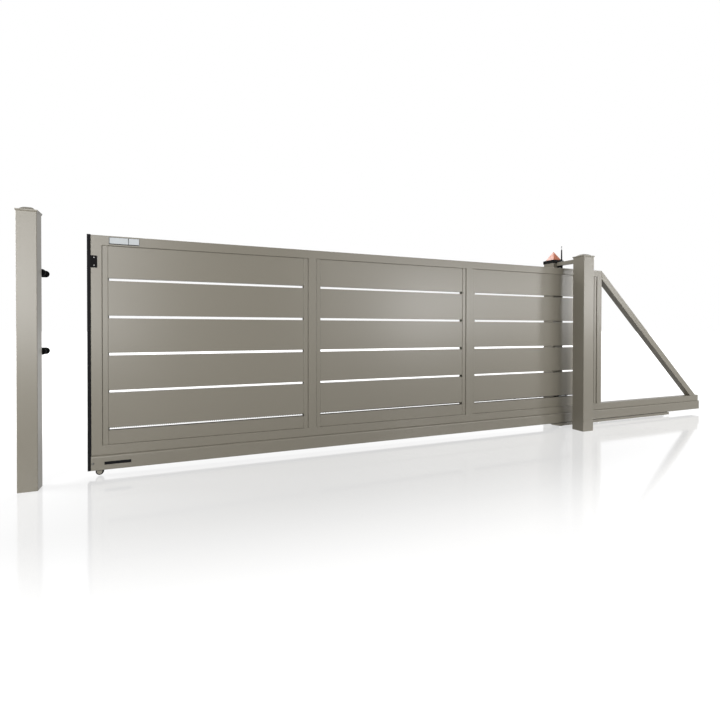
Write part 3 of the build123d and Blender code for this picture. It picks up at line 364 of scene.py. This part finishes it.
def deselect_all():
    """Leave edit mode, with nothing selected."""
    if bpy.context.mode != "OBJECT":
        bpy.ops.object.mode_set(mode="OBJECT")
    bpy.ops.object.select_all(action="DESELECT")


def use(piece):
    """Make one piece the only selected and the active one."""
    deselect_all()
    piece.select_set(True)
    bpy.context.view_layer.objects.active = piece


def add(primitive, **sizes):
    """Add one primitive with nothing else selected."""
    deselect_all()
    primitive(**sizes)
    return bpy.context.active_object


def edit(piece, kind, wanted):
    """Open a piece for editing with only the wanted faces or edges selected."""
    use(piece)
    mesh = piece.data
    for part in (mesh.vertices, mesh.edges, mesh.polygons):
        part.foreach_set("select", [False] * len(part))
    bpy.context.tool_settings.mesh_select_mode = (False, kind == "edges", kind == "faces")
    for part in (mesh.edges if kind == "edges" else mesh.polygons):
        part.select = wanted(part)
    bpy.ops.object.mode_set(mode="EDIT")


def faces_up(face):
    """True for a face that looks straight up."""
    return face.normal.z > FACES_UP


def rim_at(piece, height):
    """A test for the edges of a new piece that lie at one height in the scene."""
    points = piece.data.vertices

    def lies_there(edge):
        return all(abs(points[i].co.z + piece.location.z - height) < SAME_HEIGHT for i in edge.vertices)
    return lies_there


def join(pieces, name):
    """Join pieces into the first of them, with their places in the mesh."""
    use(pieces[0])
    for piece in pieces[1:]:
        piece.select_set(True)
    if len(pieces) > 1:
        bpy.ops.object.join()
    whole = bpy.context.active_object
    bpy.ops.object.transform_apply(location=True, rotation=True, scale=True)
    whole.name = whole.data.name = name
    return whole


def finish(piece, body, slot, material=None):
    """Give a piece its finish, its shading and the body that carries it."""
    use(piece)
    bpy.ops.object.shade_smooth_by_angle(angle=math.radians(SMOOTH_BELOW))
    piece.data.materials.clear()
    piece.data.materials.append(material or MATERIALS[slot])
    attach(piece, body)


def set_out(pattern, name, places, facing):
    """Copies of a pattern that stands on z = 0, turned so that +Z looks along facing, joined into one."""
    turn = Vector(facing).to_track_quat("Z", "Y").to_matrix().to_4x4()
    copies = []
    for place in places:
        copy = pattern.copy()
        copy.data = pattern.data.copy()
        bpy.context.collection.objects.link(copy)
        copy.matrix_world = Matrix.Translation(place) @ turn
        copies.append(copy)
    bpy.data.objects.remove(pattern)
    return join(copies, name)


def fasten(pattern, name, places, facing, slot="zinc_steel"):
    """Set out fasteners on the fixed pieces, which stand in the ground."""
    finish(set_out(pattern, name, places, facing), "root", slot)


def ease(piece, wanted, width, segments):
    """Bevel the wanted edges of a piece."""
    edit(piece, "edges", wanted)
    bpy.ops.mesh.bevel(offset=width, segments=segments, affect="EDGES")
    deselect_all()


def drum(sides, radius, height, foot=(0, 0, 0)):
    """A cylinder that stands on the point foot."""
    return add(bpy.ops.mesh.primitive_cylinder_add, vertices=sides, radius=radius, depth=height,
               location=(foot[0], foot[1], foot[2] + height / 2))


def slab(size, place):
    """A block of the given size with its place in the mesh."""
    block = add(bpy.ops.mesh.primitive_cube_add, size=1.0)
    block.scale = size
    block.location = place
    use(block)
    bpy.ops.object.transform_apply(location=True, rotation=True, scale=True)
    return block


def hex_bolt(width, height, washer_width, washer_height):
    """A hexagon head with a chamfered top on a thin round washer."""
    head = drum(HEX_SIDES, width / math.sqrt(3), height, (0, 0, washer_height))
    ease(head, rim_at(head, washer_height + height), HEAD_CHAMFER * width, 2)
    washer = drum(HEX_WASHER_SIDES, washer_width / 2, washer_height)
    ease(washer, rim_at(washer, washer_height), HEX_WASHER_EDGE * washer_height, 1)
    return join([head, washer], "bolt")


def pan_screw(width, height):
    """A low round head with a sunk drive recess."""
    head = drum(PAN_SIDES, width / 2, PAN_FOOT * height)
    edit(head, "faces", faces_up)
    for inset, rise in PAN_STEPS:
        bpy.ops.mesh.inset(thickness=inset * width)
        bpy.ops.transform.translate(value=(0, 0, rise * height))
    bpy.ops.mesh.inset(thickness=RECESS_RIM * width)
    bpy.ops.mesh.extrude_region_move(TRANSFORM_OT_translate={"value": (0, 0, -RECESS_DEPTH * height)})
    return join([head], "screw")


def between(first, last, count):
    """Evenly spaced values from first to last."""
    return [first + (last - first) * i / (count - 1) for i in range(count)]


def middle(node):
    """Middle of a CAD node's box."""
    low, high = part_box(node)
    return (low + high) / 2


def make_latch_screws():
    """Two small dull screws, one above the other, on the latch plate."""
    low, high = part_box("latch_plate")
    x = low.x + LATCH_SCREW_ACROSS * (high.x - low.x)
    places = [(x, low.y, low.z + share * (high.z - low.z)) for share in LATCH_SCREWS_UP]
    screws = set_out(pan_screw(*LATCH_SCREW), "latch_screws", places, (0, -1, 0))
    finish(screws, "leaf", "zinc_steel", DULL_SCREW)


def plate_strip(span_x, span_z, y):
    """A thin upright strip on the street side of y."""
    return slab((span_x[1] - span_x[0], RIM_HEIGHT, span_z[1] - span_z[0]),
                (sum(span_x) / 2, y - RIM_HEIGHT / 2, sum(span_z) / 2))


def plate_frame(node, bottom, left, rest):
    """Four strips round the edge of a flat plate, with widths for its bottom, its left and the rest."""
    low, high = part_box(node)
    upright = (low.z + bottom, high.z - rest)
    spans = (((low.x, high.x), (low.z, low.z + bottom)), ((low.x, high.x), (high.z - rest, high.z)),
             ((low.x, low.x + left), upright), ((high.x - rest, high.x), upright))
    return [plate_strip(span_x, span_z, low.y) for span_x, span_z in spans]


def make_plate_trim():
    """The dark rim and divider of the bare plate on the top rail, its rim widened at the foot and left side
    as painted shadow, and the rim of the plate on the track.
    """
    low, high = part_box("info_plate")
    # The foot and left strips are wider than the rest: painted shadow under and beside the plate, the other
    # strips a real dark rim.
    strips = plate_frame("info_plate", INFO_RIM_SHADOW_FOOT, INFO_RIM_SHADOW_LEFT, INFO_RIM)
    x = low.x + DIVIDER_SHARE * (high.x - low.x)
    span_x = (x - DIVIDER_WIDTH / 2, x + DIVIDER_WIDTH / 2)
    strips.append(plate_strip(span_x, (low.z + INFO_RIM_SHADOW_FOOT, high.z - INFO_RIM), low.y))
    finish(join(strips, "info_plate_rim_and_shadow"), "leaf", "black_plastic")
    rim = plate_frame("name_plate", NAME_RIM, NAME_RIM, NAME_RIM)
    finish(join(rim, "name_plate_rim"), "leaf", "black_plastic")


def make_nose_screws():
    """Small screws on dark washers, through both faces of the track into the nose piece."""
    low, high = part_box("track_rail")
    x = low.x + NOSE_SCREW_INSET
    for side, y, facing in (("street", low.y, -1), ("yard", high.y, 1)):
        washer = drum(NOSE_WASHER_SIDES, NOSE_WASHER_RADIUS, NOSE_WASHER)
        ease(washer, rim_at(washer, NOSE_WASHER), NOSE_WASHER_EDGE * NOSE_WASHER, 1)
        places = [(x, y, NOSE_SCREW_Z)]
        ring = set_out(join([washer], "washer"), f"nose_washer_{side}", places, (0, facing, 0))
        finish(ring, "leaf", "black_plastic")
        places = [(x, y + facing * NOSE_WASHER, NOSE_SCREW_Z)]
        screw = set_out(pan_screw(*NOSE_SCREW), f"nose_screw_{side}", places, (0, facing, 0))
        finish(screw, "leaf", "zinc_steel", DULL_SCREW)


def make_rack_screws():
    """Hexagon screws along the back of the rack's carrier."""
    low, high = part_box("rack_carrier")
    z = (low.z + high.z) / 2
    spots = between(low.x + RACK_SCREW_INSET, high.x - RACK_SCREW_INSET, RACK_SCREWS)
    screws = set_out(hex_bolt(*RACK_SCREW), "rack_screws", [(x, high.y, z) for x in spots], (0, 1, 0))
    finish(screws, "leaf", "zinc_steel")


def make_edge_caps():
    """Thin end caps on the rubber profile."""
    low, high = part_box("safety_edge")
    centre = (low + high) / 2
    caps = []
    for z, side in ((low.z, -1), (high.z, 1)):
        cap = slab((high.x - low.x, high.y - low.y, EDGE_CAP), (centre.x, centre.y, z + side * EDGE_CAP / 2))
        ease(cap, lambda edge: True, EDGE_CAP_ROUND * EDGE_CAP, 2)
        caps.append(cap)
    finish(join(caps, "safety_edge_caps"), "leaf", "edge_rubber")


def make_roller_fasteners():
    """Bolts of the front roller's arm, its nut, the clips under both rollers and the bracket's screws."""
    low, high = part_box("front_roller_arm")
    x, y, z = low.x + ARM_BOLT_X, low.y + ARM_BOLT_Y, high.z - ARM_BOLT_DROP
    places = [(x + shift, y, z) for shift in (-ARM_BOLT_SPREAD, ARM_BOLT_SPREAD)]
    fasten(hex_bolt(*BRACKET_BOLT), "arm_bolts", places, (0, 1, 0))
    roller = middle("front_guide_roller")
    fasten(hex_bolt(*ROLLER_NUT), "front_roller_nut", [(roller.x, roller.y, high.z)], (0, 0, 1))
    for name in ("front_guide_roller", "rear_guide_roller"):
        spot = middle(name)
        fasten(hex_bolt(*ROLLER_CLIP), f"{name}_clip", [(spot.x, spot.y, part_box(name)[0].z)], (0, 0, -1))
    low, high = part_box("rear_roller_bracket")
    x, y, z = low.x + BRACKET_SCREW_DEPTH, (low.y + high.y) / 2, high.z - BRACKET_SCREW_DROP
    places = [(x, y + shift, z) for shift in BRACKET_SCREWS_Y]
    fasten(pan_screw(*BRACKET_SCREW), "bracket_screws", places, (-1, 0, 0), "black_paint")


def make_fork_bolts():
    """Two bolts behind each catch fork."""
    for name in ("upper_catch_fork", "lower_catch_fork"):
        low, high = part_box(name)
        z = (low.z + high.z) / 2
        places = [(low.x, low.y + FORK_BOLT_Y, z + shift) for shift in (-FORK_BOLT_SPREAD, FORK_BOLT_SPREAD)]
        fasten(hex_bolt(*BRACKET_BOLT), f"{name}_bolts", places, (-1, 0, 0))


def make_flange_bolts():
    """Bolts on a circle round the drive's shaft."""
    flange = middle("drive_flange")
    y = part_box("drive_flange")[1].y - FLANGE_PLATE
    places = []
    for i in range(FLANGE_BOLTS):
        turn = math.tau * (i + 0.5) / FLANGE_BOLTS
        across, up = FLANGE_CIRCLE * math.cos(turn), FLANGE_CIRCLE * math.sin(turn)
        places.append((flange.x + across, y, flange.z + up))
    fasten(hex_bolt(*FLANGE_BOLT), "flange_bolts", places, (0, -1, 0))


def make_foot_nuts():
    """Nuts on the base, over its two middle feet."""
    low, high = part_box("base_channel")
    feet_low, feet_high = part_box("base_feet")
    first, last = feet_low.x + FOOT_INSET, feet_high.x - FOOT_INSET
    places = [(first + (last - first) * share, (low.y + high.y) / 2, high.z) for share in FOOT_SHARES]
    fasten(hex_bolt(*FOOT_NUT), "foot_nuts", places, (0, 0, 1))


def make_aerial_sleeve():
    """The moulded sleeve round the lower part of the aerial, on its round collar."""
    low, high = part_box("aerial")
    x, y = (low.x + high.x) / 2, (low.y + high.y) / 2
    foot, top = SLEEVE_RADII
    sleeve = add(bpy.ops.mesh.primitive_cone_add, vertices=SLEEVE_SIDES, radius1=foot, radius2=top,
                 depth=SLEEVE, location=(x, y, low.z + SLEEVE / 2))
    ease(sleeve, rim_at(sleeve, low.z + SLEEVE), SLEEVE_EDGE, 3)
    collar = drum(SLEEVE_SIDES, COLLAR_RADIUS, COLLAR, (x, y, low.z))
    ease(collar, rim_at(collar, low.z + COLLAR), SLEEVE_EDGE, 2)
    finish(join([sleeve, collar], "aerial_sleeve"), "root", "black_plastic")


def make_lamp_core():
    """The light source inside the lens: a round board with a domed cluster on it."""
    low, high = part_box("lamp_lens")
    x, y = (low.x + high.x) / 2, (low.y + high.y) / 2
    board = drum(BOARD_SIDES, BOARD_RADIUS, BOARD, (x, y, low.z))
    stem = drum(STEM_SIDES, STEM_RADIUS, STEM, (x, y, low.z + BOARD))
    edit(stem, "faces", faces_up)
    for inset in (STEM_STEP / 2, STEM_STEP):
        bpy.ops.mesh.inset(thickness=inset)
        bpy.ops.transform.translate(value=(0, 0, STEM_STEP))
    deselect_all()
    finish(join([board, stem], "lamp_core"), "root", "pale_plate", LED_WHITE)


def seen_directly(nodes, links):
    """1 for camera, glossy and transmission rays, 0 for the rest."""
    path = nodes.new("ShaderNodeLightPath")
    total = path.outputs["Is Camera Ray"]
    for label in ("Is Glossy Ray", "Is Transmission Ray"):
        larger = nodes.new("ShaderNodeMath")
        larger.operation = "MAXIMUM"
        links.new(total, larger.inputs[0])
        links.new(path.outputs[label], larger.inputs[1])
        total = larger.outputs[0]
    return total


def light_scene():
    """Soft boxes, a dim even world, and white for rays that see the background."""
    world = bpy.data.worlds.new("studio")
    world.use_nodes = True
    nodes, links = world.node_tree.nodes, world.node_tree.links
    nodes.clear()
    out = nodes.new("ShaderNodeOutputWorld")
    soft = nodes.new("ShaderNodeBackground")
    soft.inputs["Color"].default_value = WHITE
    soft.inputs["Strength"].default_value = WORLD_LEVEL
    white = nodes.new("ShaderNodeBackground")
    white.inputs["Color"].default_value = WHITE
    pick = nodes.new("ShaderNodeMixShader")
    links.new(seen_directly(nodes, links), pick.inputs[0])
    links.new(soft.outputs[0], pick.inputs[1])
    links.new(white.outputs[0], pick.inputs[2])
    links.new(pick.outputs[0], out.inputs[0])
    bpy.context.scene.world = world
    for name, place, aim, size, radiance in SOFT_BOXES:
        lamp = bpy.data.lights.new(name, "AREA")
        lamp.shape = "RECTANGLE"
        lamp.size, lamp.size_y = size
        lamp.energy = radiance * math.pi * size[0] * size[1]
        holder = bpy.data.objects.new(name, lamp)
        bpy.context.collection.objects.link(holder)
        holder.location = place
        holder.rotation_euler = (Vector(aim) - Vector(place)).to_track_quat("-Z", "Y").to_euler()
        holder.visible_camera = False


def make_camera():
    """The camera at the photograph's place, with its principal point above the middle."""
    data = bpy.data.cameras.new("photo_camera")
    data.sensor_width = SENSOR
    data.lens = FOCAL_PIXELS / PHOTO * SENSOR
    data.shift_y = (AXIS_ROW - PHOTO / 2) / PHOTO
    data.dof.use_dof = False
    camera = bpy.data.objects.new("photo_camera", data)
    bpy.context.collection.objects.link(camera)
    camera.location = CAMERA_PLACE
    turn = (math.radians(90 - CAMERA_DOWN), math.radians(CAMERA_ROLL), math.radians(-CAMERA_TURN))
    camera.rotation_euler = turn
    bpy.context.scene.camera = camera


def make_floor():
    """A glossy floor that keeps the gate's shadow, its glow lowered near the gate as painted shade and
    lighter away from it.
    """
    floor = add(bpy.ops.mesh.primitive_plane_add, size=FLOOR_SIZE, location=(0, 0, 0))
    floor.name = "studio_floor"
    paint = bpy.data.materials.new("pale_floor_with_painted_shade")
    paint.use_nodes = True
    tree = paint.node_tree
    nodes, links = tree.nodes, tree.links
    shader = nodes["Principled BSDF"]
    shader.inputs["Base Color"].default_value = colour((FLOOR_COLOUR,) * 3)
    shader.inputs["Roughness"].default_value = FLOOR_ROUGHNESS
    shader.inputs["Emission Color"].default_value = WHITE
    split = nodes.new("ShaderNodeSeparateXYZ")
    links.new(nodes.new("ShaderNodeTexCoord").outputs["Object"], split.inputs[0])
    away = maths(tree, "ABSOLUTE", maths(tree, "SUBTRACT", split.outputs["Y"], LEAF_MIDDLE), 0.0)
    # The glow is lower near the gate: painted shade on the floor round the gate, fading out with distance
    # from the leaf.
    glow_with_shade = nodes.new("ShaderNodeMapRange")
    glow_with_shade.interpolation_type = "SMOOTHSTEP"
    links.new(away, glow_with_shade.inputs["Value"])
    for label, value in zip(("From Min", "From Max", "To Min", "To Max"), PAINTED_SHADE_REACH + FLOOR_GLOW_SHADED_NEAR_GATE):
        glow_with_shade.inputs[label].default_value = value
    glow = maths(tree, "MULTIPLY", seen_directly(nodes, links), glow_with_shade.outputs["Result"])
    links.new(glow, shader.inputs["Emission Strength"])
    floor.data.materials.append(paint)


make_latch_screws()
make_plate_trim()
make_nose_screws()
make_rack_screws()
make_edge_caps()
make_roller_fasteners()
make_fork_bolts()
make_flange_bolts()
make_foot_nuts()
make_aerial_sleeve()
make_lamp_core()
make_camera()
light_scene()
make_floor()
bpy.context.scene.view_settings.view_transform = "Standard"
